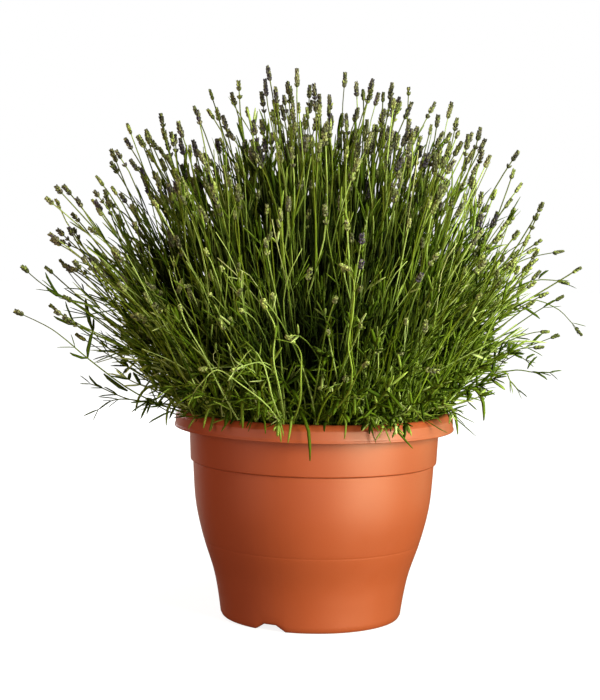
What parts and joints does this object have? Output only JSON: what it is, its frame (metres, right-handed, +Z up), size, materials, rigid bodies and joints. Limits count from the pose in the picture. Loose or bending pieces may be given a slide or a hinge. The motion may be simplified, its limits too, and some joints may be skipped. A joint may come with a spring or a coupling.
{
  "type": "potted lavender",
  "caption": "Bushy lavender in a round terracotta-coloured plastic pot: a dome of thin flower stems with small spikes over narrow-leaved shoots, rooted in dark soil.",
  "frame": {"origin": "centre of the pot's foot, on the surface it stands on", "axes": "+Z up the pot's axis, +X to the right and +Y to the back as the picture sees the plant"},
  "size_m": [0.5509, 0.5285, 0.5262],
  "materials": {
    "pot": "satin",
    "soil": "matte",
    "flower_stems": "satin",
    "leaves": "satin"
  },
  "bodies": {
    "root": {"pot": "pot", "potting_soil": "soil", "flowering_stems_01": "flower_stems", "flowering_stems_02": "flower_stems", "flowering_stems_03": "flower_stems", "flowering_stems_04": "flower_stems", "flowering_stems_05": "flower_stems", "flowering_stems_06": "flower_stems", "flowering_stems_07": "flower_stems", "flowering_stems_08": "flower_stems", "flowering_stems_09": "flower_stems", "flowering_stems_10": "flower_stems", "flowering_stems_11": "flower_stems", "flowering_stems_12": "flower_stems", "flowering_stems_13": "flower_stems", "flowering_stems_14": "flower_stems", "flowering_stems_15": "flower_stems", "flowering_stems_16": "flower_stems", "flowering_stems_17": "flower_stems", "flowering_stems_18": "flower_stems", "flowering_stems_19": "flower_stems", "flowering_stems_20": "flower_stems", "flowering_stems_21": "flower_stems", "flowering_stems_22": "flower_stems", "flowering_stems_23": "flower_stems", "flowering_stems_24": "flower_stems", "flowering_stems_25": "flower_stems", "flowering_stems_26": "flower_stems", "flowering_stems_27": "flower_stems", "flowering_stems_28": "flower_stems", "flowering_stems_29": "flower_stems", "flowering_stems_30": "flower_stems", "flowering_stems_31": "flower_stems", "flowering_stems_32": "flower_stems", "flowering_stems_33": "flower_stems", "flowering_stems_34": "flower_stems", "flowering_stems_35": "flower_stems", "flowering_stems_36": "flower_stems", "flowering_stems_37": "flower_stems", "flowering_stems_38": "flower_stems", "flowering_stems_39": "flower_stems", "leafy_shoots_01": "leaves", "leafy_shoots_02": "leaves", "leafy_shoots_03": "leaves", "leafy_shoots_04": "leaves", "leafy_shoots_05": "leaves", "leafy_shoots_06": "leaves", "leafy_shoots_07": "leaves", "leafy_shoots_08": "leaves", "leafy_shoots_09": "leaves", "leafy_shoots_10": "leaves", "leafy_shoots_11": "leaves", "leafy_shoots_12": "leaves", "leafy_shoots_13": "leaves", "leafy_shoots_14": "leaves", "leafy_shoots_15": "leaves", "leafy_shoots_16": "leaves", "leafy_shoots_17": "leaves", "leafy_shoots_18": "leaves"}
  },
  "joints": []
}
